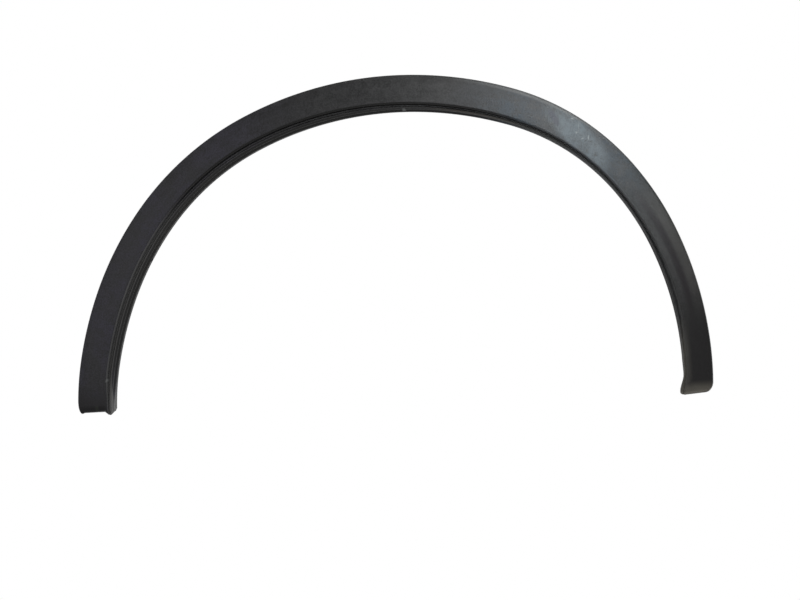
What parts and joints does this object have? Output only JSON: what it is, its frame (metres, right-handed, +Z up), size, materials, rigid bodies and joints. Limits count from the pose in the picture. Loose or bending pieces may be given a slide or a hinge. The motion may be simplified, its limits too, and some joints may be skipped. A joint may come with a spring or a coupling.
{
  "type": "wheel arch trim",
  "caption": "Moulded black plastic wheel arch trim: a tapering arch with a satin face, recessed inner edge, beaded lip, return flange and ribbed back.",
  "frame": {"origin": "middle of the arch's foot line: the centre of its bounding box across its width and depth, at its lowest point", "axes": "+Z up as on the vehicle, +X along the arch's width to the picture's right, -Y out of the show face, +Y towards the body panel"},
  "size_m": [0.875, 0.054, 0.4546],
  "materials": {
    "arch_plastic": "moulded-in black polypropylene, satin, lightly scuffed"
  },
  "bodies": {
    "root": {"arch_trim": "arch_plastic"}
  },
  "joints": []
}
